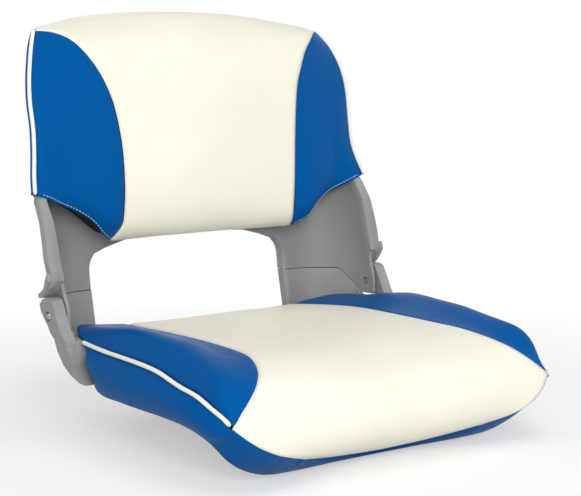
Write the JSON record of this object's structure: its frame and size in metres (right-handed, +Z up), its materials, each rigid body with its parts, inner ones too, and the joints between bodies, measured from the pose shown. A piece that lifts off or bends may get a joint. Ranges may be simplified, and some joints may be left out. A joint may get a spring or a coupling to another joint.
{
  "type": "folding boat seat",
  "caption": "Low-back folding helm seat: moulded plastic shells hinged on side bolts, with vinyl-covered foam cushions and a flat pad for mounting.",
  "frame": {"origin": "centre of the mounting insert pattern, on the flat underside of the base pan", "axes": "+Z up, seat faces -Y, +X to the right seen from the front"},
  "size_m": [0.4724, 0.4665, 0.4639],
  "materials": {
    "grey_moulded_plastic": "satin, fine grain",
    "cream_vinyl": "soft satin vinyl with a fine grain",
    "blue_vinyl": "soft satin vinyl with a fine grain",
    "foam": "open foam",
    "stainless_steel": "brushed",
    "brass": "turned",
    "nylon": "natural",
    "board": "sealed plywood"
  },
  "bodies": {
    "seat_base": {"base_shell": "grey_moulded_plastic", "mount_insert_front_left": "brass", "mount_insert_front_right": "brass", "mount_insert_rear_left": "brass", "mount_insert_rear_right": "brass", "seat_board": "board", "board_screw_front_left": "stainless_steel", "board_screw_front_right": "stainless_steel", "board_screw_rear_left": "stainless_steel", "board_screw_rear_right": "stainless_steel", "seat_foam": "foam", "seat_panel_center": "cream_vinyl", "seat_panel_left": "blue_vinyl", "seat_panel_right": "blue_vinyl", "seat_boxing": "blue_vinyl", "seat_piping_left": "cream_vinyl", "seat_piping_right": "cream_vinyl", "hinge_bush_left": "nylon", "hinge_bush_right": "nylon", "hinge_washer_left": "stainless_steel", "hinge_washer_right": "stainless_steel"},
    "backrest": {"back_shell": "grey_moulded_plastic", "back_foam": "foam", "back_panel_center": "cream_vinyl", "back_wing_left": "blue_vinyl", "back_wing_right": "blue_vinyl", "back_piping_left": "cream_vinyl", "back_piping_right": "cream_vinyl", "back_rear_cover": "blue_vinyl", "hinge_bolt_left": "stainless_steel", "hinge_bolt_right": "stainless_steel", "hinge_nut_left": "stainless_steel", "hinge_nut_right": "stainless_steel", "ear_screw_left": "stainless_steel", "ear_screw_right": "stainless_steel"}
  },
  "joints": [
    {"name": "back_fold", "type": "hinge", "parent": "seat_base", "child": "backrest", "pos_m": [0, 0.15, 0.132], "axis": [1, 0, 0], "range_deg": [0, 95]}
  ]
}
